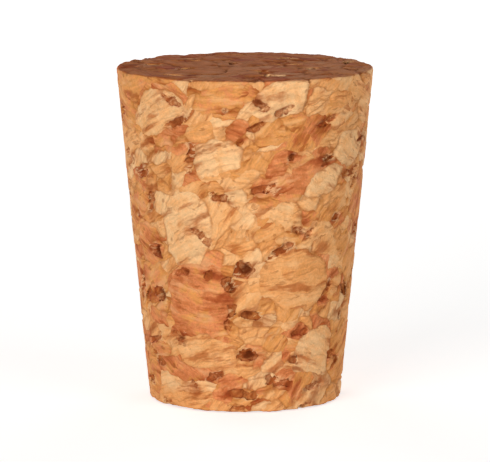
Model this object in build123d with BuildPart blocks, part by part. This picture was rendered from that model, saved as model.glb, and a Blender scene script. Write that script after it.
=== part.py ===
"""Tapered stopper of bonded cork granules, one solid, standing on its small end with the large end up."""

import os
from math import atan2, cos, degrees, radians, sin
from typing import NamedTuple

from build123d import *

# Turned body
large_diameter = 15.9
small_diameter = 11.9
stopper_length = 20.6
rim_bevel = 0.2

# Open gap between several granules
gap_length = 1.5
gap_width = 0.9
gap_depth = 0.5
gap_outline_shares = [(-0.50, -0.42), (-0.12, 0.34), (0.10, 0.50), (0.50, -0.30), (0.06, -0.50)]

# Narrow slit along the joint between two granules
slit_length = 1.5
slit_width = 0.45
slit_depth = 0.4
slit_outline_shares = [(-0.50, -0.34), (-0.36, 0.50), (0.50, 0.38), (0.34, -0.50)]

# Small pore inside one granule
pore_length = 0.75
pore_width = 0.45
pore_depth = 0.35
pore_outline_shares = [(-0.50, -0.30), (-0.20, 0.50), (0.50, 0.26), (0.28, -0.50)]

# Shallow groove where the joint along a large granule stands open
joint_length = 2.4
joint_width = 0.45
joint_depth = 0.34
joint_outline_shares = [(-0.50, -0.30), (-0.42, 0.44), (0.50, 0.34), (0.40, -0.50)]

# Every hollow narrows to a floor, of this share of its mouth, that lies off its middle by these shares
floor_share = 0.55
floor_shift_shares = (0.11, -0.13)

# The cut of a hollow starts this far above the surface
cut_overrun = 0.2

# Places on the wall: share of the length, turn from the front in degrees, lean from the level in degrees
wall_gap_shares = [
    (0.48, -52, -30),
    (0.44, -1, 14),
    (0.18, 1, 0),
    (0.35, 68, -40),
]
wall_slit_shares = [
    (0.86, 4, 24),
    (0.65, -13, 14),
    (0.39, -9, -45),
    (0.30, 3, -5),
    (0.24, 31, 8),
    (0.42, -35, 10),
    (0.62, -53, 74),
    (0.75, 43, 25),
    (0.22, -40, -10),
    (0.93, 7, -26),
    (0.91, 18, 20),
    (0.11, -18, 28),
]
wall_pore_shares = [
    (0.81, -2, 30),
    (0.91, -9, 55),
    (0.415, -20, 86),
    (0.77, 22, 0),
    (0.58, 52, 30),
    (0.16, 28, -20),
    (0.08, -31, 10),
    (0.81, -49, 80),
    (0.73, -68, 60),
]
wall_joint_shares = [
    (0.935, -36, -20),
    (0.87, -33, 32),
    (0.675, 8, 14),
    (0.49, 17, 32),
    (0.285, -9, 72),
    (0.87, 40, 20),
    (0.755, -27, 80),
    (0.095, 19, -18),
    (0.065, 44, 14),
    (0.06, -2, -12),
    (0.545, 30, -12),
    (0.54, -24, -32),
    (0.34, 47, 62),
    (0.70, 60, 18),
    (0.20, -62, 20),
    (0.15, 60, -24),
    (0.32, -66, 62),
]

# The same scatter goes round the wall, and every second time it is upside down
wall_turns = (0, 132, 240)

# Places on each end face: share of its radius, turn in degrees, lean in degrees
large_face_gap_shares = [
    (0.34, 20, 35),
    (0.62, 148, -50),
    (0.71, 262, 15),
]
large_face_slit_shares = [
    (0.20, 210, -25),
    (0.55, 75, 60),
    (0.80, 318, -70),
    (0.46, 290, 10),
]
large_face_joint_shares = [
    (0.66, 22, 70),
    (0.34, 112, -20),
    (0.80, 188, 85),
    (0.58, 232, 40),
    (0.84, 108, 60),
]
small_face_gap_shares = [
    (0.30, 115, -15),
    (0.66, 305, 40),
]
small_face_slit_shares = [
    (0.52, 35, 65),
    (0.25, 250, 20),
    (0.74, 190, -40),
]
small_face_joint_shares = [
    (0.66, 88, 60),
    (0.62, 246, 70),
    (0.68, 352, 30),
]

# Granules torn out of the rims: turn from the front in degrees
large_rim_gap_turns = (152, 227)
large_rim_slit_turns = (-24, 31, 68, 112, 196, 291)
small_rim_gap_turns = (96, 203)
small_rim_slit_turns = (-54, -6, 38, 158, 258)

# Front of the stopper, as an angle about its axis
front = -90

large_radius = large_diameter / 2
small_radius = small_diameter / 2
taper = degrees(atan2(large_radius - small_radius, stopper_length))


class End(NamedTuple):
    """One end of the stopper: its face's radius and height, and the way it faces, up (1) or down (-1)."""

    radius: float
    height: float
    facing: int


large_end = End(large_radius, stopper_length, 1)
small_end = End(small_radius, 0, -1)


def round_the_axis(radius: float, height: float, turn: float) -> Vector:
    """Return the point at a radius and a height, turned about the axis from the front."""
    angle = radians(front + turn)
    return Vector(radius * cos(angle), radius * sin(angle), height)


def wall_plane(height_share: float, turn: float, lean: float) -> Plane:
    """Return the plane that lies on the tapered wall, with X along the way a hollow runs."""
    radius = small_radius + (large_radius - small_radius) * height_share
    outward = round_the_axis(cos(radians(taper)), -sin(radians(taper)), turn)
    along = round_the_axis(1, 0, turn + 90).rotate(Axis((0, 0, 0), outward), lean)
    origin = round_the_axis(radius, stopper_length * height_share, turn)
    return Plane(origin, x_dir=along, z_dir=outward)


def wall_places(places: list) -> list:
    """Return the planes of the hollows all round the wall, one scatter after another."""
    planes = []
    for scatter, wall_turn in enumerate(wall_turns):
        upside_down = scatter % 2 == 1
        for height_share, turn, lean in places:
            share = 1 - height_share if upside_down else height_share
            planes.append(wall_plane(share, turn + wall_turn, lean))
    return planes


def face_places(end: End, places: list) -> list:
    """Return the planes of the hollows on an end face, with X along the way a hollow runs."""
    planes = []
    for radius_share, turn, lean in places:
        origin = round_the_axis(end.radius * radius_share, end.height, turn)
        planes.append(Plane(origin, x_dir=round_the_axis(1, 0, turn + lean), z_dir=(0, 0, end.facing)))
    return planes


def rim_places(end: End, turns: tuple) -> list:
    """Return the planes of the hollows on the rim of an end, with X along the rim."""
    planes = []
    for turn in turns:
        origin = round_the_axis(end.radius, end.height, turn)
        planes.append(Plane(origin, x_dir=round_the_axis(1, 0, turn + 90), z_dir=(0, 0, end.facing)))
    return planes


def hollow(length: float, width: float, depth: float, outline_shares: list) -> Part:
    """Return the many-sided core of a hollow, with its length along X and its mouth in the XY plane."""
    shift_x_share, shift_y_share = floor_shift_shares
    corners = []
    for height in (cut_overrun, -depth):
        sunk = -height / depth
        size = 1 - (1 - floor_share) * sunk
        for x_share, y_share in outline_shares:
            x = length * (x_share * size + shift_x_share * sunk)
            y = width * (y_share * size + shift_y_share * sunk)
            corners.append((x, y, height))
    with BuildPart() as core:
        ConvexPolyhedron(corners)
    return core.part


gap_core = hollow(gap_length, gap_width, gap_depth, gap_outline_shares)
gap_places = [
    *wall_places(wall_gap_shares),
    *face_places(large_end, large_face_gap_shares),
    *face_places(small_end, small_face_gap_shares),
    *rim_places(large_end, large_rim_gap_turns),
    *rim_places(small_end, small_rim_gap_turns),
]

slit_core = hollow(slit_length, slit_width, slit_depth, slit_outline_shares)
slit_places = [
    *wall_places(wall_slit_shares),
    *face_places(large_end, large_face_slit_shares),
    *face_places(small_end, small_face_slit_shares),
    *rim_places(large_end, large_rim_slit_turns),
    *rim_places(small_end, small_rim_slit_turns),
]

pore_core = hollow(pore_length, pore_width, pore_depth, pore_outline_shares)
pore_places = wall_places(wall_pore_shares)

joint_core = hollow(joint_length, joint_width, joint_depth, joint_outline_shares)
joint_places = [
    *wall_places(wall_joint_shares),
    *face_places(large_end, large_face_joint_shares),
    *face_places(small_end, small_face_joint_shares),
]

with BuildPart() as stopper:
    # Half section, turned about the axis
    with BuildSketch(Plane.XZ):
        with BuildLine():
            Polyline(
                (0, 0),
                (small_radius, 0),
                (large_radius, stopper_length),
                (0, stopper_length),
                close=True,
            )
        make_face()
    revolve(axis=Axis.Z)

    # Grinding leaves both rims with a small bevel
    chamfer(stopper.edges().filter_by(GeomType.CIRCLE), length=rim_bevel)

    # Hollows that the granules leave open
    with Locations(gap_places):
        add(gap_core, mode=Mode.SUBTRACT)
    with Locations(slit_places):
        add(slit_core, mode=Mode.SUBTRACT)
    with Locations(pore_places):
        add(pore_core, mode=Mode.SUBTRACT)
    with Locations(joint_places):
        add(joint_core, mode=Mode.SUBTRACT)

stopper.part.label = "stopper"

os.makedirs("parts", exist_ok=True)
export_step(stopper.part, "parts/stopper.step")
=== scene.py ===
"""Dresses a tapered stopper of bonded cork granules: ground wall, cut ends, worn rims and open gaps."""

import logging
import math
from dataclasses import dataclass, field
from enum import Enum
from typing import Any, NamedTuple

import bpy
import numpy as np
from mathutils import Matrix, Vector
from mathutils.kdtree import KDTree


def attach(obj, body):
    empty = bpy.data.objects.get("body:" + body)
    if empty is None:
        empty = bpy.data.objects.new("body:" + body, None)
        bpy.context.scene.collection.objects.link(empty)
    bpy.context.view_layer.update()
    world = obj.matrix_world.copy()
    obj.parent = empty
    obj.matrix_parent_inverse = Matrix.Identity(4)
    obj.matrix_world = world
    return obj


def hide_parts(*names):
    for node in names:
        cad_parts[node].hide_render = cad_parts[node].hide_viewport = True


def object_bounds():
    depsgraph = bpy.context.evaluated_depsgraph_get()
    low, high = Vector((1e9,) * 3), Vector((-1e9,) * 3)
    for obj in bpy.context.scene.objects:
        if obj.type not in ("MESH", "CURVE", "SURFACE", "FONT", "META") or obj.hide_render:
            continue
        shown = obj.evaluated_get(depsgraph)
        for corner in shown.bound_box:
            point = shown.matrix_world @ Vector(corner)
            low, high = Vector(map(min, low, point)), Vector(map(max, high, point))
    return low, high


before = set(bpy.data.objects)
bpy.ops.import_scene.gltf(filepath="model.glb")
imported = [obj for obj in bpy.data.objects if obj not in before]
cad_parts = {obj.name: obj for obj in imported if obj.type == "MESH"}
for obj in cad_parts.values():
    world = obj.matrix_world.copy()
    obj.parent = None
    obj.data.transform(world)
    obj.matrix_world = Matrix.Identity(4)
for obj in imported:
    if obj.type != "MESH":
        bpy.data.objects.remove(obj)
CAD_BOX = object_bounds()

LOG = logging.getLogger("stopper")
MM = 0.001
IMAGE_WIDTH_PX = 490
IMAGE_HEIGHT_PX = 462
SENSOR_MM = 36.0

Tree = bpy.types.NodeTree
Socket = bpy.types.NodeSocket


class Wall(NamedTuple):
    """The tapered wall before any granule is lost from it, in millimetres."""

    small_mm: float
    large_mm: float
    length_mm: float

    def radius_mm(self, height_share: float | np.ndarray) -> float | np.ndarray:
        """Return the wall's radius at a share of the length, for one number or an array of them."""
        return self.small_mm + (self.large_mm - self.small_mm) * height_share


WALL = Wall(small_mm=11.9 / 2, large_mm=15.9 / 2, length_mm=20.6)


class Field(Enum):
    """Values that the stopper's mesh carries at each of its points, in millimetres."""

    PLACE = "place_mm"
    DEPTH = "depth_mm"
    HOLLOW = "hollow_mm"
    RIM = "rim_mm"


def linear_colour(hex_colour: str) -> tuple[float, float, float, float]:
    """Turn an sRGB hex colour into the linear colour that a shader takes.

    Args:
        hex_colour: six hex digits after a hash sign.

    Returns:
        Red, green, blue and a full alpha.
    """
    channels = [int(hex_colour[start:start + 2], 16) / 255 for start in (1, 3, 5)]
    linear = [c / 12.92 if c <= 0.04045 else ((c + 0.055) / 1.055) ** 2.4 for c in channels]
    return (*linear, 1.0)


def add_node(
    tree: Tree, kind: str, inputs: dict[str | int, Any] | None = None, **settings: Any
) -> bpy.types.Node:
    """Add a node, give it its settings, and link or set its inputs.

    Args:
        tree: the node tree that gets the node.
        kind: Blender's name of the node type.
        inputs: for an input's name or number, an output to link to it or a value to set.
        settings: the node's own properties.

    Returns:
        The new node.
    """
    node = tree.nodes.new(kind)
    for name, value in settings.items():
        setattr(node, name, value)
    for key, value in (inputs or {}).items():
        socket = node.inputs[key]
        if isinstance(value, bpy.types.NodeSocket):
            tree.links.new(value, socket)
        else:
            socket.default_value = value
    return node


class SoftEdge(NamedTuple):
    """A soft edge on a scale: the value at which something begins, and the value at which it is full."""

    begins: float
    full: float

    def mask(self, tree: Tree, value: Socket) -> Socket:
        """Turn a value into a mask with this edge.

        Args:
            tree: a material's tree or a geometry tree.
            value: a noise, or a distance in millimetres.

        Returns:
            0 before the edge and 1 past it, with a smooth rise between.
        """
        edge = add_node(
            tree,
            "ShaderNodeMapRange",
            {"Value": value, "From Min": self.begins, "From Max": self.full},
            interpolation_type="SMOOTHSTEP",
        )
        return edge.outputs[0]


class Grain(NamedTuple):
    """What the granule pattern gives at each place of the cork.

    The numbers are each granule's own, the openness says where joints stand open, and what has crumbled lies
    inside the lip of a hollow.
    """

    numbers: Socket
    joint_mm: Socket
    openness: Socket
    hollow_mm: Socket
    lip_mm: Socket
    crumbled: Socket


class Flake(NamedTuple):
    """One large granule on the front of the wall: its place, its size and its place on the scale of tones."""

    height_share: float
    turn_deg: float
    wide_mm: float
    high_mm: float
    lean_deg: float
    tone: float


@dataclass(frozen=True)
class GranulePattern:
    """Cork granules pressed and glued into a solid, which flattens them into beds that lean to one side.

    The same pattern shapes the relief and tints the finish, so that colour and shape fall together.
    """

    granule_mm: float = 3.2
    crumb_mm: float = 1.5
    flattening: float = 1.6
    bed_lean_deg: float = 22.0
    split_share: float = 0.55
    bends_mm: tuple[tuple[float, float], ...] = ((1.6, 0.34), (0.45, 0.12), (0.16, 0.045))
    open_wave_mm: float = 2.0
    open_patches: SoftEdge = SoftEdge(0.42, 0.62)
    crumble_mm: float = 0.24
    crumble_wave_mm: tuple[float, float, float] = (0.9, 0.9, 0.26)
    crumble_noise: tuple[float, float] = (0.42, 0.66)
    crumble_edge_mm: float = 0.08
    flake_deep_mm: float = 5.0
    flake_facets: tuple[tuple[float, float, float], ...] = ((1.0, 0.2, 0.42), (0.36, 0.2, 1.0))
    flake_step: float = 0.35
    flakes: tuple[Flake, ...] = (
        Flake(0.33, -25, 4.6, 5.2, 12, 0.12),
        Flake(0.55, -31, 3.6, 5.0, -10, 0.97),
        Flake(0.77, -14, 3.4, 2.2, 18, 0.97),
        Flake(0.40, 28, 5.2, 4.2, -20, 0.55),
        Flake(0.69, 15, 3.6, 1.4, 14, 0.08),
        Flake(0.69, 42, 3.2, 1.7, 20, 0.95),
        Flake(0.78, 60, 3.4, 2.4, 10, 0.92),
        Flake(0.89, -46, 4.6, 2.8, 24, 0.86),
        Flake(0.18, -22, 4.4, 2.0, -8, 0.70),
        Flake(0.94, -12, 4.0, 1.8, 20, 0.26),
        # This last flake, dark and at the left edge, is partly painted shade along that edge of the wall.
        Flake(0.49, -58, 2.6, 2.8, 0, 0.16),
    )

    def draw(self, tree: Tree, place: Socket, hollow: Socket) -> Grain:
        """Draw the pattern into a node tree.

        Args:
            tree: a material's tree or a geometry tree.
            place: the place in the cork, in millimetres.
            hollow: the distance from the nearest hollow, in millimetres.

        Returns:
            The pattern's outputs.
        """
        bent = self.bent_place(tree, place)
        numbers, joint_mm = self.granules(tree, bent)
        for flake in self.flakes:
            numbers, joint_mm = self.place_flake(tree, bent, flake, numbers, joint_mm)
        lip_mm = self.from_lip(tree, place, hollow)
        return Grain(
            numbers=numbers,
            joint_mm=joint_mm,
            openness=self.patches(tree, place, self.open_wave_mm, self.open_patches),
            hollow_mm=hollow,
            lip_mm=lip_mm,
            crumbled=SoftEdge(self.crumble_edge_mm, 0.0).mask(tree, lip_mm),
        )

    def bent_place(self, tree: Tree, place: Socket) -> Socket:
        """Bend the place, so that granules have uneven outlines.

        Args:
            tree: the tree that gets the nodes.
            place: the place in the cork, in millimetres.

        Returns:
            The bent place.
        """
        bent = place
        for wave_mm, reach_mm in self.bends_mm:
            waves = {"Vector": place, "Scale": 1 / wave_mm, "Detail": 0.0}
            noise = add_node(tree, "ShaderNodeTexNoise", waves)
            centred = add_node(
                tree,
                "ShaderNodeVectorMath",
                {0: noise.outputs["Color"], 1: (0.5, 0.5, 0.5)},
                operation="SUBTRACT",
            )
            moved = add_node(
                tree,
                "ShaderNodeVectorMath",
                {0: centred.outputs[0], 1: (2 * reach_mm,) * 3, 2: bent},
                operation="MULTIPLY_ADD",
            )
            bent = moved.outputs[0]
        return bent

    def granules(self, tree: Tree, bent: Socket) -> tuple[Socket, Socket]:
        """Divide the cork into granules, of which a share is broken into crumbs.

        Args:
            tree: the tree that gets the nodes.
            bent: the bent place.

        Returns:
            Each granule's own random numbers, and the distance to the nearest joint in millimetres.
        """
        flat = add_node(
            tree,
            "ShaderNodeVectorMath",
            {0: self.bedded(tree, bent), 1: (1.0, 1.0, self.flattening)},
            operation="MULTIPLY",
        )
        granule, granule_joint = self.cells(tree, flat.outputs[0], self.granule_mm)
        crumb, crumb_joint = self.cells(tree, flat.outputs[0], self.crumb_mm)
        luck = add_node(tree, "ShaderNodeSeparateXYZ", {0: granule})
        broken = add_node(
            tree,
            "ShaderNodeMath",
            {0: luck.outputs[2], 1: self.split_share},
            operation="LESS_THAN",
        )
        numbers = add_node(
            tree,
            "ShaderNodeMix",
            {0: broken.outputs[0], 4: granule, 5: crumb},
            data_type="VECTOR",
        )
        nearer = add_node(tree, "ShaderNodeMath", {0: granule_joint, 1: crumb_joint}, operation="MINIMUM")
        joint = add_node(
            tree,
            "ShaderNodeMix",
            {0: broken.outputs[0], 2: granule_joint, 3: nearer.outputs[0]},
            data_type="FLOAT",
        )
        return numbers.outputs[1], joint.outputs[0]

    def bedded(self, tree: Tree, place: Socket) -> Socket:
        """Turn the place so that Z stands square to the beds, which rise to the right of the front.

        Args:
            tree: the tree that gets the node.
            place: the place in the cork, in millimetres.

        Returns:
            The turned place.
        """
        turned = add_node(
            tree,
            "ShaderNodeVectorRotate",
            {"Vector": place, "Angle": math.radians(self.bed_lean_deg)},
            rotation_type="Y_AXIS",
        )
        return turned.outputs[0]

    def cells(self, tree: Tree, flat: Socket, size_mm: float) -> tuple[Socket, Socket]:
        """Divide the cork into cells of one size.

        Args:
            tree: the tree that gets the nodes.
            flat: the flattened place.
            size_mm: the cells' usual size.

        Returns:
            Each cell's own random numbers, and the distance to the nearest joint in millimetres.
        """
        sockets = {"Vector": flat, "Scale": 1 / size_mm}
        body = add_node(tree, "ShaderNodeTexVoronoi", sockets, feature="F1")
        joint = add_node(tree, "ShaderNodeTexVoronoi", sockets, feature="DISTANCE_TO_EDGE")
        joint_mm = add_node(
            tree,
            "ShaderNodeMath",
            {0: joint.outputs["Distance"], 1: size_mm},
            operation="MULTIPLY",
        )
        return body.outputs["Color"], joint_mm.outputs[0]

    def place_flake(
        self, tree: Tree, bent: Socket, flake: Flake, numbers: Socket, joint_mm: Socket
    ) -> tuple[Socket, Socket]:
        """Set one large granule among the others.

        Args:
            tree: the tree that gets the nodes.
            bent: the bent place.
            flake: the granule.
            numbers: the granules' own numbers without it.
            joint_mm: the distance to the nearest joint without it.

        Returns:
            The same two with it.
        """
        turn = math.radians(flake.turn_deg)
        radius = WALL.radius_mm(flake.height_share)
        middle = (radius * math.sin(turn), -radius * math.cos(turn), WALL.length_mm * flake.height_share)
        halves = Vector((flake.wide_mm, self.flake_deep_mm, flake.high_mm)) / 2
        offset = add_node(tree, "ShaderNodeVectorMath", {0: bent, 1: middle}, operation="SUBTRACT")
        level = add_node(
            tree,
            "ShaderNodeVectorRotate",
            {"Vector": offset.outputs[0], "Rotation": (0.0, math.radians(-flake.lean_deg), turn)},
            rotation_type="EULER_XYZ",
            invert=True,
        )
        scaled = add_node(
            tree,
            "ShaderNodeVectorMath",
            {0: level.outputs[0], 1: tuple(1 / half for half in halves)},
            operation="MULTIPLY",
        )
        aside = add_node(tree, "ShaderNodeVectorMath", {0: scaled.outputs[0]}, operation="ABSOLUTE")
        facets = [
            add_node(tree, "ShaderNodeVectorMath", {0: aside.outputs[0], 1: facet}, operation="DOT_PRODUCT")
            for facet in self.flake_facets
        ]
        reach = add_node(
            tree,
            "ShaderNodeMath",
            {0: facets[0].outputs["Value"], 1: facets[1].outputs["Value"]},
            operation="MAXIMUM",
        )
        nearest = min(halves)
        outside_mm = add_node(
            tree,
            "ShaderNodeMath",
            {0: reach.outputs[0], 1: nearest, 2: -nearest},
            operation="MULTIPLY_ADD",
        )
        inside = add_node(tree, "ShaderNodeMath", {0: reach.outputs[0], 1: 1.0}, operation="LESS_THAN")
        edge_mm = add_node(tree, "ShaderNodeMath", {0: outside_mm.outputs[0]}, operation="ABSOLUTE")
        nearer = add_node(tree, "ShaderNodeMath", {0: joint_mm, 1: edge_mm.outputs[0]}, operation="MINIMUM")
        with_joint = add_node(
            tree,
            "ShaderNodeMix",
            {0: inside.outputs[0], 2: nearer.outputs[0], 3: edge_mm.outputs[0]},
            data_type="FLOAT",
        )
        with_numbers = add_node(
            tree,
            "ShaderNodeMix",
            {0: inside.outputs[0], 4: numbers, 5: (flake.tone, self.flake_step, flake.height_share)},
            data_type="VECTOR",
        )
        return with_numbers.outputs[1], with_joint.outputs[0]

    @staticmethod
    def patches(tree: Tree, place: Socket, wave_mm: float, edge: SoftEdge) -> Socket:
        """Mark soft-edged patches of the cork.

        Args:
            tree: the tree that gets the nodes.
            place: the place in the cork, in millimetres.
            wave_mm: how far apart the patches lie.
            edge: the noise values at which a patch begins and is full.

        Returns:
            0 outside the patches and 1 within them.
        """
        noise = add_node(tree, "ShaderNodeTexNoise", {"Vector": place, "Scale": 1 / wave_mm, "Detail": 1.0})
        return edge.mask(tree, noise.outputs[0])

    def from_lip(self, tree: Tree, place: Socket, hollow: Socket) -> Socket:
        """Measure how far a place is from the ragged lip where cork has crumbled away round a hollow.

        Args:
            tree: the tree that gets the nodes.
            place: the place in the cork, in millimetres.
            hollow: the distance from the nearest hollow, in millimetres.

        Returns:
            The distance in millimetres, below 0 inside the lip.
        """
        along_beds = add_node(
            tree,
            "ShaderNodeVectorMath",
            {0: self.bedded(tree, place), 1: tuple(1 / wave for wave in self.crumble_wave_mm)},
            operation="MULTIPLY",
        )
        noise = add_node(
            tree,
            "ShaderNodeTexNoise",
            {"Vector": along_beds.outputs[0], "Scale": 1.0, "Detail": 4.0, "Roughness": 0.62},
        )
        firm, loose = self.crumble_noise
        reach = add_node(
            tree,
            "ShaderNodeMapRange",
            {
                "Value": noise.outputs[0],
                "From Min": firm,
                "From Max": loose,
                "To Min": -self.crumble_edge_mm,
                "To Max": self.crumble_mm,
            },
        )
        beyond = add_node(tree, "ShaderNodeMath", {0: hollow, 1: reach.outputs[0]}, operation="SUBTRACT")
        return beyond.outputs[0]


class Cover(Enum):
    """How a mark lies on the cork: it hides the tone under it, or stains it and lets the grain show."""

    HIDES = "MIX"
    STAINS = "MULTIPLY"


class Mark(NamedTuple):
    """One kind of mark on the cork: where it lies, its colour, its strength and how it covers."""

    mask: Socket
    hex_colour: str
    strength: float
    cover: Cover = Cover.HIDES

    def lay(self, tree: Tree, colour: Socket) -> Socket:
        """Lay the mark on a surface.

        Args:
            tree: the material's tree.
            colour: the surface's colour.

        Returns:
            The colour with the mark on it.
        """
        share = add_node(tree, "ShaderNodeMath", {0: self.mask, 1: self.strength}, operation="MULTIPLY")
        marked = add_node(
            tree,
            "ShaderNodeMix",
            {0: share.outputs[0], 6: colour, 7: linear_colour(self.hex_colour)},
            data_type="RGBA",
            blend_type=self.cover.value,
        )
        return marked.outputs[2]


@dataclass(frozen=True)
class BondedCork:
    """Bonded cork, ground on the wall and cut at the ends.

    Grinding leaves a matte skin of pale and brown granules, each with its own growth lines, thin glue joints
    between them, flecks of bark, and open gaps that look almost black; that near-black is painted shade,
    deeper with depth.
    """

    cream: str = "#E9B883"
    pale_tan: str = "#E7AD74"
    light_golden: str = "#E3A366"
    golden: str = "#DD985A"
    ochre: str = "#D6904D"
    salmon: str = "#D88654"
    russet: str = "#C87644"
    stain: str = "#C89E83"
    bark: str = "#8A451A"
    joint: str = "#96541F"
    # Torn cork in a hollow's lip: partly its own broken face, partly painted shade on the sunken cork.
    torn: str = "#984C20"
    # Painted shade deep in the hollows.
    painted_hollow_shade: str = "#5C2406"
    # Pale frayed fibres round a lip, partly a painted highlight on its lit edge.
    frayed_and_painted_highlight: str = "#F8D09A"
    # Multiplied onto the cut ends: a redder tint of end grain, and painted shade that darkens them.
    cut_end_tint_and_painted_shade: str = "#EECFCA"
    # Cut cells scatter the light, so the cork has colour and hardly any gloss.
    roughness: float = 0.86
    ior: float = 1.45
    shine: float = 0.12
    joint_width_mm: float = 0.14
    joint_shut: float = 0.08
    joint_open: float = 0.7
    mottle_mm: float = 0.9
    mottle_noise: tuple[float, float] = (0.25, 0.75)
    mottle_shift: float = 0.30
    granule_lean_deg: float = 42.0
    line_mm: float = 0.16
    line_run_mm: float = 1.7
    line_relief_share: float = 0.8
    grain_noise: tuple[float, float] = (0.3, 0.7)
    line_shades: tuple[float, float] = (0.86, 1.12)
    cell_shades: tuple[float, float] = (0.88, 1.10)
    stain_mm: float = 0.6
    stain_run_mm: float = 2.6
    bleached: SoftEdge = SoftEdge(0.48, 0.32)
    reddened: SoftEdge = SoftEdge(0.54, 0.67)
    ring_mm: float = 1.15
    ring_width_mm: float = 0.09
    fleck_mm: float = 0.3
    fleck_run_mm: float = 1.1
    flecked: SoftEdge = SoftEdge(0.61, 0.70)
    pepper_mm: float = 0.62
    pepper_hidden_share: float = 0.45
    pepper_radii_mm: tuple[float, float] = (-0.05, 0.16)
    pepper_edge_mm: SoftEdge = SoftEdge(-0.02, 0.05)
    soiled_reach_mm: float = 1.1
    soiled_streaks: SoftEdge = SoftEdge(0.44, 0.58)
    fray_mm: SoftEdge = SoftEdge(0.28, 0.06)
    fray_wave_mm: float = 1.2
    fray_patches: SoftEdge = SoftEdge(0.50, 0.60)
    torn_noise: tuple[float, float] = (0.36, 0.60)
    torn_least: float = 0.45
    # How much the stain runs and the cells deepen the painted shade in the hollows.
    shade_streak_mm: float = 0.4
    floor_grain_mm: float = 0.16
    deep_mm: SoftEdge = SoftEdge(0.48, 0.74)
    end_facing: SoftEdge = SoftEdge(0.55, 0.85)
    # Real cork cells are 0.04 mm across, too fine for the picture, so they are drawn coarser.
    cell_mm: float = 0.13
    cell_relief_mm: float = 0.05
    pattern: GranulePattern = field(default_factory=GranulePattern)

    def make(self) -> bpy.types.Material:
        """Make the material.

        Returns:
            The new material.
        """
        material = bpy.data.materials.new("bonded_cork")
        material.use_nodes = True
        tree = material.node_tree
        tree.nodes.clear()
        place = add_node(tree, "ShaderNodeAttribute", attribute_name=Field.PLACE.value).outputs["Vector"]
        depth = add_node(tree, "ShaderNodeAttribute", attribute_name=Field.DEPTH.value).outputs["Fac"]
        hollow = add_node(tree, "ShaderNodeAttribute", attribute_name=Field.HOLLOW.value).outputs["Fac"]
        grain = self.pattern.draw(tree, place, hollow)
        cells = add_node(
            tree,
            "ShaderNodeTexNoise",
            {"Vector": place, "Scale": 1 / self.cell_mm, "Detail": 3.0, "Roughness": 0.65},
        ).outputs[0]
        lines = self.runs(tree, place, grain.numbers, self.line_mm, self.line_run_mm)
        colour = self.tint(tree, place, grain, lines, cells)
        for mark in self.marks(tree, place, grain, depth, cells):
            colour = mark.lay(tree, colour)
        height = add_node(
            tree,
            "ShaderNodeMath",
            {0: lines, 1: self.line_relief_share, 2: cells},
            operation="MULTIPLY_ADD",
        )
        bump = add_node(
            tree,
            "ShaderNodeBump",
            {"Height": height.outputs[0], "Strength": 0.8, "Distance": self.cell_relief_mm * MM},
        )
        shader = add_node(
            tree,
            "ShaderNodeBsdfPrincipled",
            {
                "Base Color": colour,
                "Roughness": self.roughness,
                "IOR": self.ior,
                "Specular IOR Level": self.shine,
                "Normal": bump.outputs[0],
            },
        )
        add_node(tree, "ShaderNodeOutputMaterial", {"Surface": shader.outputs[0]})
        return material

    def runs(self, tree: Tree, place: Socket, numbers: Socket, across_mm: float, along_mm: float) -> Socket:
        """Draw runs of fibre or bark, which lie along the beds and a little differently in each granule.

        Args:
            tree: the material's tree.
            place: the place in the cork, in millimetres.
            numbers: each granule's own random numbers, which turn its runs.
            across_mm: how far the runs lie apart square to the beds.
            along_mm: how far they lie apart along the beds.

        Returns:
            A noise about 0.5.
        """
        scaled = add_node(
            tree,
            "ShaderNodeVectorMath",
            {0: self.turned(tree, place, numbers), 1: (1 / along_mm, 1 / along_mm, 1 / across_mm)},
            operation="MULTIPLY",
        )
        noise = add_node(
            tree,
            "ShaderNodeTexNoise",
            {"Vector": scaled.outputs[0], "Scale": 1.0, "Detail": 3.0, "Roughness": 0.6},
        )
        return noise.outputs[0]

    def turned(self, tree: Tree, place: Socket, numbers: Socket) -> Socket:
        """Turn the place to the beds, then by each granule's own numbers, as the granule lay when pressed.

        Args:
            tree: the material's tree.
            place: the place in the cork, in millimetres.
            numbers: each granule's own random numbers.

        Returns:
            The turned place, with Z square to the granule's lines.
        """
        most = math.radians(self.granule_lean_deg)
        angles = add_node(
            tree,
            "ShaderNodeVectorMath",
            {0: numbers, 1: (2 * most,) * 3, 2: (-most,) * 3},
            operation="MULTIPLY_ADD",
        )
        turned = add_node(
            tree,
            "ShaderNodeVectorRotate",
            {"Vector": self.pattern.bedded(tree, place), "Rotation": angles.outputs[0]},
            rotation_type="EULER_XYZ",
        )
        return turned.outputs[0]

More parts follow.
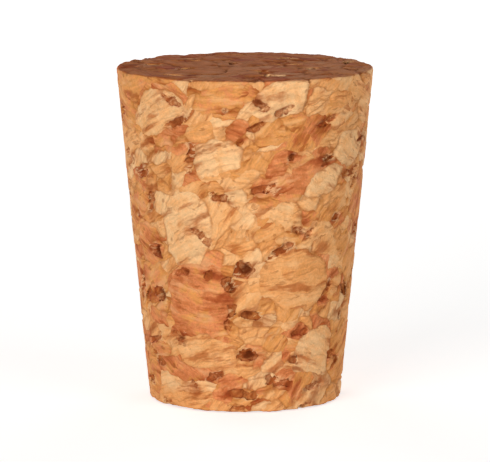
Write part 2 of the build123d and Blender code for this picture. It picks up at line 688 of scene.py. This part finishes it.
    def tint(self, tree: Tree, place: Socket, grain: Grain, lines: Socket, cells: Socket) -> Socket:
        """Tint the granules: each has a tone of its own, mottled and streaked.

        Args:
            tree: the material's tree.
            place: the place in the cork, in millimetres.
            grain: the granule pattern.
            lines: the fibre lines.
            cells: the fine cork cells.

        Returns:
            The granules' colour.
        """
        mottle = add_node(
            tree,
            "ShaderNodeTexNoise",
            {"Vector": place, "Scale": 1 / self.mottle_mm, "Detail": 4.0, "Roughness": 0.7},
        )
        shifts = (-self.mottle_shift, self.mottle_shift)
        shift = self.spread(tree, mottle.outputs[0], self.mottle_noise, shifts)
        own = add_node(tree, "ShaderNodeSeparateXYZ", {0: grain.numbers})
        tone = add_node(tree, "ShaderNodeMath", {0: own.outputs[0], 1: shift}, operation="ADD")
        ramp = add_node(tree, "ShaderNodeValToRGB", {0: tone.outputs[0]})
        stops = (
            (0.00, self.russet),
            (0.11, self.salmon),
            (0.28, self.ochre),
            (0.48, self.golden),
            (0.68, self.light_golden),
            (0.86, self.pale_tan),
            (1.00, self.cream),
        )
        while len(ramp.color_ramp.elements) < len(stops):
            ramp.color_ramp.elements.new(1.0)
        for element, (position, hex_colour) in zip(ramp.color_ramp.elements, stops):
            element.position = position
            element.color = linear_colour(hex_colour)
        streaked = self.spread(tree, lines, self.grain_noise, self.line_shades)
        fine = self.spread(tree, cells, self.grain_noise, self.cell_shades)
        shade = add_node(tree, "ShaderNodeMath", {0: streaked, 1: fine}, operation="MULTIPLY")
        tinted = add_node(
            tree,
            "ShaderNodeVectorMath",
            {0: ramp.outputs[0], "Scale": shade.outputs[0]},
            operation="SCALE",
        )
        return tinted.outputs[0]

    @staticmethod
    def spread(
        tree: Tree, noise: Socket, span: tuple[float, float], values: tuple[float, float]
    ) -> Socket:
        """Spread a noise evenly over a range of values.

        Args:
            tree: the material's tree.
            noise: the noise.
            span: the noise's usual least and most.
            values: the values that these two become.

        Returns:
            The value at each place.
        """
        evenly = add_node(
            tree,
            "ShaderNodeMapRange",
            {
                "Value": noise,
                "From Min": span[0],
                "From Max": span[1],
                "To Min": values[0],
                "To Max": values[1],
            },
        )
        return evenly.outputs[0]

    def marks(
        self, tree: Tree, place: Socket, grain: Grain, depth: Socket, cells: Socket
    ) -> tuple[Mark, ...]:
        """List the marks on the granules, in the order in which they lie on each other.

        Args:
            tree: the material's tree.
            place: the place in the cork, in millimetres.
            grain: the granule pattern.
            depth: how far a place lies below the ground surface, in millimetres.
            cells: the fine cork cells.

        Returns:
            The marks, the lowest first.
        """
        streaks = self.runs(tree, place, grain.numbers, self.stain_mm, self.stain_run_mm)
        specks = self.runs(tree, place, grain.numbers, self.fleck_mm, self.fleck_run_mm)
        return (
            Mark(self.bleached.mask(tree, streaks), self.cream, 0.38),
            Mark(self.reddened.mask(tree, streaks), self.stain, 0.80, Cover.STAINS),
            Mark(self.rings(tree, place, grain.numbers), self.bark, 0.22),
            Mark(self.pepper(tree, place), self.bark, 0.42),
            Mark(self.flecked.mask(tree, specks), self.bark, 0.5),
            Mark(self.soiled(tree, grain, streaks), self.stain, 0.75, Cover.STAINS),
            Mark(self.joints(tree, grain), self.joint, 0.7),
            # Frayed lips, partly a painted highlight.
            Mark(self.frayed_lips_and_painted_highlight(tree, place, grain), self.frayed_and_painted_highlight, 0.5),
            # Torn cork inside the lips, partly painted shade.
            Mark(self.torn_cork_and_painted_shade(tree, grain, cells), self.torn, 0.85),
            # Painted shade deep in the hollows.
            Mark(self.deep_painted_shade(tree, depth, streaks, cells), self.painted_hollow_shade, 0.92),
            # Painted shade, with a redder tint, on the cut ends.
            Mark(self.ends(tree), self.cut_end_tint_and_painted_shade, 1.0, Cover.STAINS),
        )

    def joints(self, tree: Tree, grain: Grain) -> Socket:
        """Mark the glue joints between granules, strongest where they stand open.

        Args:
            tree: the material's tree.
            grain: the granule pattern.

        Returns:
            Up to 1 on a joint and 0 elsewhere.
        """
        line = SoftEdge(self.joint_width_mm, 0.0).mask(tree, grain.joint_mm)
        opened = self.spread(tree, grain.openness, (0.0, 1.0), (self.joint_shut, self.joint_open))
        joint = add_node(tree, "ShaderNodeMath", {0: line, 1: opened}, operation="MULTIPLY")
        return joint.outputs[0]

    def soiled(self, tree: Tree, grain: Grain, streaks: Socket) -> Socket:
        """Mark the brown streaks that run out from the hollows.

        Args:
            tree: the material's tree.
            grain: the granule pattern.
            streaks: the runs of stain.

        Returns:
            Up to 1 beside a hollow and 0 away from it.
        """
        near_hollow = SoftEdge(self.soiled_reach_mm, 0.0).mask(tree, grain.hollow_mm)
        streaky = self.soiled_streaks.mask(tree, streaks)
        soiled = add_node(tree, "ShaderNodeMath", {0: near_hollow, 1: streaky}, operation="MULTIPLY")
        return soiled.outputs[0]

    def frayed_lips_and_painted_highlight(self, tree: Tree, place: Socket, grain: Grain) -> Socket:
        """Mark the pale fibres that fray along parts of a hollow's lip; the pale rim is partly a painted
        highlight on the lip's lit edge.

        Args:
            tree: the material's tree.
            place: the place in the cork, in millimetres.
            grain: the granule pattern.

        Returns:
            Up to 1 just outside a lip and 0 elsewhere.
        """
        outside = add_node(
            tree,
            "ShaderNodeMath",
            {0: self.fray_mm.mask(tree, grain.lip_mm), 1: grain.crumbled},
            operation="SUBTRACT",
            use_clamp=True,
        )
        fibres = self.pattern.patches(tree, place, self.fray_wave_mm, self.fray_patches)
        frayed_and_painted_highlight = add_node(tree, "ShaderNodeMath", {0: outside.outputs[0], 1: fibres}, operation="MULTIPLY")
        return frayed_and_painted_highlight.outputs[0]

    def torn_cork_and_painted_shade(self, tree: Tree, grain: Grain, cells: Socket) -> Socket:
        """Mark the torn cork inside a hollow's lip, with its grain; its brown is partly the cork's torn face
        and partly painted shade on the sunken, crumbled cork.

        Args:
            tree: the material's tree.
            grain: the granule pattern.
            cells: the fine cork cells.

        Returns:
            Up to 1 inside a lip and 0 outside it.
        """
        worn = self.spread(tree, cells, self.torn_noise, (self.torn_least, 1.0))
        ragged = add_node(tree, "ShaderNodeMath", {0: grain.crumbled, 1: worn}, operation="MULTIPLY")
        return ragged.outputs[0]

    def deep_painted_shade(self, tree: Tree, depth: Socket, streaks: Socket, cells: Socket) -> Socket:
        """Mark painted shade deep in the hollows: darker with depth, and uneven along the runs of stain and
        the fine cells.

        Args:
            tree: the material's tree.
            depth: how far a place lies below the ground surface, in millimetres.
            streaks: the runs of stain, along which the painted shade is deeper.
            cells: the fine cork cells.

        Returns:
            1 deep in a hollow and 0 outside it.
        """
        floor = depth
        for noise, reach_mm in ((streaks, self.shade_streak_mm), (cells, self.floor_grain_mm)):
            uneven = add_node(
                tree, "ShaderNodeMath", {0: noise, 1: reach_mm, 2: floor}, operation="MULTIPLY_ADD"
            )
            floor = uneven.outputs[0]
        return self.deep_mm.mask(tree, floor)

    def ends(self, tree: Tree) -> Socket:
        """Mark the cut ends, which take a redder tint of end grain and painted shade that darkens them
        against the ground wall.

        Args:
            tree: the material's tree.

        Returns:
            1 on an end and 0 on the wall.
        """
        surface = add_node(tree, "ShaderNodeTexCoord")
        facing = add_node(tree, "ShaderNodeSeparateXYZ", {0: surface.outputs["Normal"]})
        level = add_node(tree, "ShaderNodeMath", {0: facing.outputs[2]}, operation="ABSOLUTE")
        return self.end_facing.mask(tree, level.outputs[0])

    def rings(self, tree: Tree, place: Socket, numbers: Socket) -> Socket:
        """Mark the thin dark lines that end a year's growth, a millimetre or so apart.

        Args:
            tree: the material's tree.
            place: the place in the cork, in millimetres.
            numbers: each granule's own random numbers, which turn its rings.

        Returns:
            1 on a line and 0 between the lines.
        """
        across = add_node(tree, "ShaderNodeSeparateXYZ", {0: self.turned(tree, place, numbers)})
        waves = {"Vector": place, "Scale": 1 / self.ring_mm, "Detail": 2.0}
        sway = add_node(tree, "ShaderNodeTexNoise", waves)
        swayed = add_node(
            tree,
            "ShaderNodeMath",
            {0: sway.outputs[0], 1: self.ring_mm, 2: across.outputs[2]},
            operation="MULTIPLY_ADD",
        )
        from_line = add_node(
            tree,
            "ShaderNodeMath",
            {0: swayed.outputs[0], 1: self.ring_mm / 2},
            operation="PINGPONG",
        )
        return SoftEdge(self.ring_width_mm, 0.0).mask(tree, from_line.outputs[0])

    def pepper(self, tree: Tree, place: Socket) -> Socket:
        """Mark specks of bark dust, of which about half are too small to show.

        Args:
            tree: the material's tree.
            place: the place in the cork, in millimetres.

        Returns:
            1 on a speck and 0 elsewhere.
        """
        spots = {"Vector": place, "Scale": 1 / self.pepper_mm}
        dots = add_node(tree, "ShaderNodeTexVoronoi", spots, feature="F1")
        luck = add_node(tree, "ShaderNodeSeparateXYZ", {0: dots.outputs["Color"]})
        radius = self.spread(tree, luck.outputs[0], (self.pepper_hidden_share, 1.0), self.pepper_radii_mm)
        inside = add_node(
            tree,
            "ShaderNodeMath",
            {0: dots.outputs["Distance"], 1: -self.pepper_mm, 2: radius},
            operation="MULTIPLY_ADD",
        )
        return self.pepper_edge_mm.mask(tree, inside.outputs[0])


@dataclass
class Stopper:
    """The tapered stopper: one piece of bonded cork, with its solid's form and its granules' relief."""

    node: str = "stopper"
    slot: str = "bonded_cork"
    skin_mm: float = 0.132
    hollow_from_mm: float = 0.13
    hollow_reach_mm: float = 2.0
    step_mm: float = 0.05
    groove_mm: float = 0.10
    groove_width_mm: float = 0.18
    crumble_mm: float = 0.26
    grit_mm: float = 0.05
    grit_wave_mm: float = 0.4
    tear_mm: float = 0.22
    tear_wave_mm: float = 0.9
    tear_from_rim_mm: tuple[float, float] = (0.3, 1.0)
    rim_wear_mm: float = 0.11
    rim_reach_mm: float = 0.7
    rim_wave_mm: float = 1.5
    rim_patches: SoftEdge = SoftEdge(0.42, 0.70)
    cork: BondedCork = field(default_factory=BondedCork)

    def build(self) -> bpy.types.Object:
        """Build the stopper, dress it and set it on its body.

        Returns:
            The finished piece.
        """
        piece = bpy.data.objects.new("cork_stopper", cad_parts[self.node].data.copy())
        bpy.context.scene.collection.objects.link(piece)
        self.lay_even_skin(piece)
        self.write_fields(piece.data)
        self.raise_grain(piece)
        self.dress(piece)
        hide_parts(self.node)
        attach(piece, "root")
        return piece

    def dress(self, piece: bpy.types.Object) -> None:
        """Give the piece its finish.

        Args:
            piece: the shaped stopper.
        """
        piece.data.materials.clear()
        piece.data.materials.append(self.cork.make())
        piece.data.shade_smooth()

    @staticmethod
    def settle(piece: bpy.types.Object) -> None:
        """Apply a piece's modifiers to its mesh.

        Args:
            piece: the piece with its modifiers.
        """
        shaped = piece.evaluated_get(bpy.context.evaluated_depsgraph_get())
        piece.data = bpy.data.meshes.new_from_object(shaped)
        piece.modifiers.clear()

    def lay_even_skin(self, piece: bpy.types.Object) -> None:
        """Give the solid's form an even, fine mesh that can carry the granules' relief.

        Args:
            piece: the piece with the solid's mesh.
        """
        skin = piece.modifiers.new("even_skin", "REMESH")
        skin.mode = "VOXEL"
        skin.voxel_size = self.skin_mm * MM
        self.settle(piece)

    @staticmethod
    def places_mm(mesh: bpy.types.Mesh) -> np.ndarray:
        """Read the places of a mesh's points.

        Args:
            mesh: the stopper's mesh.

        Returns:
            The places in millimetres, one row each.
        """
        flat = np.empty(len(mesh.vertices) * 3, np.float32)
        mesh.vertices.foreach_get("co", flat)
        return flat.reshape(-1, 3) / MM

    @staticmethod
    def depths_mm(places: np.ndarray) -> np.ndarray:
        """Measure how far places lie below the ground form.

        Args:
            places: the points, in millimetres.

        Returns:
            The depths, in millimetres.
        """
        heights = places[:, 2]
        below_wall = WALL.radius_mm(heights / WALL.length_mm) - np.hypot(places[:, 0], places[:, 1])
        return np.minimum.reduce([below_wall, heights, WALL.length_mm - heights])

    def write_fields(self, mesh: bpy.types.Mesh) -> None:
        """Write each point's place, its depth, and how far it is from a hollow and a rim.

        Args:
            mesh: the stopper's mesh.
        """
        places = self.places_mm(mesh)
        radii = np.hypot(places[:, 0], places[:, 1])
        heights = places[:, 2]
        large_rim = np.hypot(radii - WALL.large_mm, heights - WALL.length_mm)
        small_rim = np.hypot(radii - WALL.small_mm, heights)
        depth = self.depths_mm(places)
        values = {
            Field.PLACE: (places, "FLOAT_VECTOR", "vector"),
            Field.DEPTH: (depth, "FLOAT", "value"),
            Field.HOLLOW: (self.from_hollows(places, depth), "FLOAT", "value"),
            Field.RIM: (np.minimum(large_rim, small_rim), "FLOAT", "value"),
        }
        for name, (numbers, kind, member) in values.items():
            attribute = mesh.attributes.new(name.value, kind, "POINT")
            attribute.data.foreach_set(member, numbers.astype(np.float32).ravel())

    def from_hollows(self, places: np.ndarray, depth: np.ndarray) -> np.ndarray:
        """Measure how far each point is from the nearest hollow.

        Args:
            places: the points, in millimetres.
            depth: their depths below the ground form.

        Returns:
            The distances, in millimetres, up to a limit.
        """
        deep = np.flatnonzero(depth > self.hollow_from_mm)
        tree = KDTree(len(deep))
        for index in deep:
            tree.insert(places[index], int(index))
        tree.balance()
        distances = np.array([tree.find(place)[2] for place in places])
        return np.minimum(distances, self.hollow_reach_mm)

    def raise_grain(self, piece: bpy.types.Object) -> None:
        """Shape the granules: steps between them, grooves at their joints, torn hollows and worn rims.

        Args:
            piece: the piece with its even skin and its fields.
        """
        tree = bpy.data.node_groups.new("granule_relief", "GeometryNodeTree")
        tree.interface.new_socket("Geometry", in_out="INPUT", socket_type="NodeSocketGeometry")
        tree.interface.new_socket("Geometry", in_out="OUTPUT", socket_type="NodeSocketGeometry")
        source = add_node(tree, "NodeGroupInput")
        fields = {}
        for name in Field:
            kind = "FLOAT_VECTOR" if name is Field.PLACE else "FLOAT"
            reader = add_node(tree, "GeometryNodeInputNamedAttribute", {"Name": name.value}, data_type=kind)
            fields[name] = reader.outputs[0]
        normal = add_node(tree, "GeometryNodeInputNormal").outputs[0]
        metres = add_node(tree, "ShaderNodeMath", {0: self.relief(tree, fields), 1: MM}, operation="MULTIPLY")
        sunk = add_node(
            tree,
            "ShaderNodeVectorMath",
            {0: normal, "Scale": metres.outputs[0]},
            operation="SCALE",
        )
        torn = self.tears(tree, fields, normal)
        offset = add_node(tree, "ShaderNodeVectorMath", {0: sunk.outputs[0], 1: torn}, operation="ADD")
        moved = add_node(
            tree,
            "GeometryNodeSetPosition",
            {"Geometry": source.outputs[0], "Offset": offset.outputs[0]},
        )
        add_node(tree, "NodeGroupOutput", {0: self.between_ends(tree, moved.outputs[0])})
        relief = piece.modifiers.new("granule_relief", "NODES")
        relief.node_group = tree
        self.settle(piece)

    @staticmethod
    def between_ends(tree: Tree, shape: Socket) -> Socket:
        """Keep every point between the two cut ends.

        Args:
            tree: the geometry tree.
            shape: the shaped mesh.

        Returns:
            The mesh, flat at its ends.
        """
        position = add_node(tree, "GeometryNodeInputPosition")
        split = add_node(tree, "ShaderNodeSeparateXYZ", {0: position.outputs[0]})
        kept = add_node(tree, "ShaderNodeClamp", {"Value": split.outputs[2], "Max": WALL.length_mm * MM})
        level = add_node(
            tree,
            "ShaderNodeCombineXYZ",
            {0: split.outputs[0], 1: split.outputs[1], 2: kept.outputs[0]},
        )
        flat = add_node(tree, "GeometryNodeSetPosition", {"Geometry": shape, "Position": level.outputs[0]})
        return flat.outputs[0]

    def tears(self, tree: Tree, fields: dict[Field, Socket], normal: Socket) -> Socket:
        """Work out how far each point slides along the surface, which leaves the hollows with torn outlines.

        Args:
            tree: the geometry tree.
            fields: the mesh's fields; near a rim nothing slides.
            normal: the way the surface faces.

        Returns:
            The slide, in metres.
        """
        waves = {"Vector": fields[Field.PLACE], "Scale": 1 / self.tear_wave_mm, "Detail": 2.0}
        noise = add_node(tree, "ShaderNodeTexNoise", waves)
        centred = add_node(
            tree,
            "ShaderNodeVectorMath",
            {0: noise.outputs["Color"], 1: (0.5, 0.5, 0.5)},
            operation="SUBTRACT",
        )
        outward = add_node(
            tree,
            "ShaderNodeVectorMath",
            {0: centred.outputs[0], 1: normal},
            operation="PROJECT",
        )
        along = add_node(
            tree,
            "ShaderNodeVectorMath",
            {0: centred.outputs[0], 1: outward.outputs[0]},
            operation="SUBTRACT",
        )
        still_mm, free_mm = self.tear_from_rim_mm
        inland = add_node(
            tree,
            "ShaderNodeMapRange",
            {
                "Value": fields[Field.RIM],
                "From Min": still_mm,
                "From Max": free_mm,
                "To Max": 2 * self.tear_mm * MM,
            },
        )
        slide = add_node(
            tree,
            "ShaderNodeVectorMath",
            {0: along.outputs[0], "Scale": inland.outputs[0]},
            operation="SCALE",
        )
        return slide.outputs[0]

    def relief(self, tree: Tree, fields: dict[Field, Socket]) -> Socket:
        """Work out how far each point sinks below the solid's surface.

        Args:
            tree: the geometry tree.
            fields: the mesh's fields.

        Returns:
            The height, in millimetres, at most 0.
        """
        place = fields[Field.PLACE]
        grain = self.cork.pattern.draw(tree, place, fields[Field.HOLLOW])
        own = add_node(tree, "ShaderNodeSeparateXYZ", {0: grain.numbers})
        joint = SoftEdge(self.groove_width_mm, 0.0).mask(tree, grain.joint_mm)
        groove = add_node(tree, "ShaderNodeMath", {0: joint, 1: grain.openness}, operation="MULTIPLY")
        at_rim = add_node(
            tree,
            "ShaderNodeMapRange",
            {"Value": fields[Field.RIM], "From Max": self.rim_reach_mm, "To Min": 1.0, "To Max": 0.0},
        )
        worn = self.cork.pattern.patches(tree, place, self.rim_wave_mm, self.rim_patches)
        wear = add_node(tree, "ShaderNodeMath", {0: at_rim.outputs[0], 1: worn}, operation="MULTIPLY")
        waves = {"Vector": place, "Scale": 1 / self.grit_wave_mm, "Detail": 2.0}
        grit = add_node(tree, "ShaderNodeTexNoise", waves)
        losses = (
            (own.outputs[1], self.step_mm),
            (groove.outputs[0], self.groove_mm),
            (grain.crumbled, self.crumble_mm),
            (wear.outputs[0], self.rim_wear_mm),
            (grit.outputs[0], self.grit_mm),
        )
        height = fields[Field.DEPTH]
        for share, depth_mm in losses:
            lower = add_node(
                tree,
                "ShaderNodeMath",
                {0: share, 1: -depth_mm, 2: height},
                operation="MULTIPLY_ADD",
            )
            height = lower.outputs[0]
        return add_node(tree, "ShaderNodeMath", {0: height, 1: 0.0}, operation="MINIMUM").outputs[0]


def shown_to_camera(tree: Tree) -> Socket:
    """Tell apart the rays that show the background to the camera, also in gloss or glass.

    Args:
        tree: a material's or the world's tree.

    Returns:
        1 for those rays and 0 for the rest.
    """
    rays = add_node(tree, "ShaderNodeLightPath")
    mirrored = add_node(
        tree,
        "ShaderNodeMath",
        {0: rays.outputs["Is Glossy Ray"], 1: rays.outputs["Is Transmission Ray"]},
        operation="MAXIMUM",
    )
    shown = add_node(
        tree,
        "ShaderNodeMath",
        {0: rays.outputs["Is Camera Ray"], 1: mirrored.outputs[0]},
        operation="MAXIMUM",
    )
    return shown.outputs[0]


@dataclass(frozen=True)
class MatteCard:
    """Uncoated white card, whose felted face has no gloss: it shows white and takes a soft shadow."""

    white: str = "#F6F5F3"
    glow: float = 0.62

    def make(self) -> bpy.types.Material:
        """Make the material, which glows a little to the camera and lights nothing.

        Returns:
            The new material.
        """
        material = bpy.data.materials.new("matte_card")
        material.use_nodes = True
        tree = material.node_tree
        tree.nodes.clear()
        card = add_node(tree, "ShaderNodeBsdfDiffuse", {"Color": linear_colour(self.white)})
        glow = add_node(
            tree,
            "ShaderNodeMath",
            {0: shown_to_camera(tree), 1: self.glow},
            operation="MULTIPLY",
        )
        lit = add_node(tree, "ShaderNodeEmission", {"Strength": glow.outputs[0]})
        both = add_node(tree, "ShaderNodeAddShader", {0: card.outputs[0], 1: lit.outputs[0]})
        add_node(tree, "ShaderNodeOutputMaterial", {"Surface": both.outputs[0]})
        return material


class Lamp(NamedTuple):
    """One softbox: the way to it from the stopper, and how brightly it lights a face square to it."""

    name: str
    azimuth_deg: float
    elevation_deg: float
    strength: float


@dataclass
class Studio:
    """Pale floor, soft light all round and a camera that looks at the stopper as the photograph does."""

    elevation_deg: float = 9.0
    lens_mm: float = 300.0
    picture_share: float = 0.80
    floor_reach_mm: float = 3000.0
    sky_strength: float = 0.15
    lamp_width_mm: float = 240.0
    lamp_height_mm: float = 90.0
    lamp_distance_mm: float = 420.0
    lamps: tuple[Lamp, ...] = (
        Lamp("key", -30, 8, 0.77),
        Lamp("fill", 50, 7, 0.43),
        Lamp("back_right", 150, 7, 0.42),
        Lamp("back_left", -145, 7, 0.42),
    )
    card: MatteCard = field(default_factory=MatteCard)

    def build(self, low: Vector, high: Vector) -> None:
        """Set the stage round a box.

        Args:
            low: the lowest corner of what is shown.
            high: the highest corner.
        """
        bpy.context.scene.view_settings.view_transform = "Standard"
        middle = (low + high) / 2
        self.lay_floor(low.z)
        self.light_sky()
        for lamp in self.lamps:
            self.hang(lamp, middle)
        self.aim(middle, high - low)

    def lay_floor(self, height: float) -> None:
        """Lay the pale floor.

        Args:
            height: the floor's height, in metres.
        """
        mesh = bpy.data.meshes.new("floor")
        reach = self.floor_reach_mm * MM
        sides = ((-reach, -reach), (reach, -reach), (reach, reach), (-reach, reach))
        mesh.from_pydata([(x, y, height) for x, y in sides], [], [(0, 1, 2, 3)])
        mesh.materials.append(self.card.make())
        floor = bpy.data.objects.new("floor", mesh)
        bpy.context.scene.collection.objects.link(floor)

    def light_sky(self) -> None:
        """Light the stage with a dim even sky, which is white where the camera sees it."""
        world = bpy.data.worlds.new("studio")
        world.use_nodes = True
        tree = world.node_tree
        tree.nodes.clear()
        strength = add_node(
            tree,
            "ShaderNodeMapRange",
            {"Value": shown_to_camera(tree), "To Min": self.sky_strength, "To Max": 1.0},
        )
        sky = add_node(tree, "ShaderNodeBackground", {"Strength": strength.outputs[0], "Color": (1, 1, 1, 1)})
        add_node(tree, "ShaderNodeOutputWorld", {"Surface": sky.outputs[0]})
        bpy.context.scene.world = world

    def hang(self, lamp: Lamp, middle: Vector) -> None:
        """Hang one softbox that points at the middle of the stopper.

        Args:
            lamp: the softbox.
            middle: the place that it points at.
        """
        distance = self.lamp_distance_mm * MM
        azimuth, elevation = math.radians(lamp.azimuth_deg), math.radians(lamp.elevation_deg)
        level = math.cos(elevation)
        way = Vector((level * math.sin(azimuth), -level * math.cos(azimuth), math.sin(elevation)))
        data = bpy.data.lights.new(lamp.name, "AREA")
        data.shape = "RECTANGLE"
        data.size = self.lamp_width_mm * MM
        data.size_y = self.lamp_height_mm * MM
        data.energy = lamp.strength * math.pi ** 2 * distance ** 2
        softbox = bpy.data.objects.new(lamp.name, data)
        softbox.location = middle + way * distance
        softbox.rotation_euler = (-way).to_track_quat("-Z", "Y").to_euler()
        bpy.context.scene.collection.objects.link(softbox)

    def aim(self, middle: Vector, size: Vector) -> None:
        """Aim the camera at the middle of a box, far enough off to show all of it.

        Args:
            middle: the middle of the box.
            size: its width, depth and height, in metres.
        """
        tilt = math.radians(self.elevation_deg)
        shown = size.z * math.cos(tilt) + size.y * math.sin(tilt)
        picture_height = shown / self.picture_share
        picture_width = picture_height * IMAGE_WIDTH_PX / IMAGE_HEIGHT_PX
        distance = picture_width * self.lens_mm / SENSOR_MM
        data = bpy.data.cameras.new("camera")
        data.lens = self.lens_mm
        data.sensor_width = SENSOR_MM
        data.clip_start = MM
        camera = bpy.data.objects.new("camera", data)
        away = Vector((0.0, -math.cos(tilt), math.sin(tilt)))
        camera.location = middle + away * distance
        camera.rotation_euler = (-away).to_track_quat("-Z", "Y").to_euler()
        bpy.context.scene.collection.objects.link(camera)
        bpy.context.scene.camera = camera


def main() -> None:
    """Build the stopper and its studio."""
    logging.basicConfig(level=logging.INFO, format="%(name)s: %(message)s")
    stopper = Stopper().build()
    LOG.info("%s: %d faces", stopper.name, len(stopper.data.polygons))
    Studio().build(*CAD_BOX)
    LOG.info("studio: floor, sky, softboxes and camera")


if __name__ == "__main__":
    main()
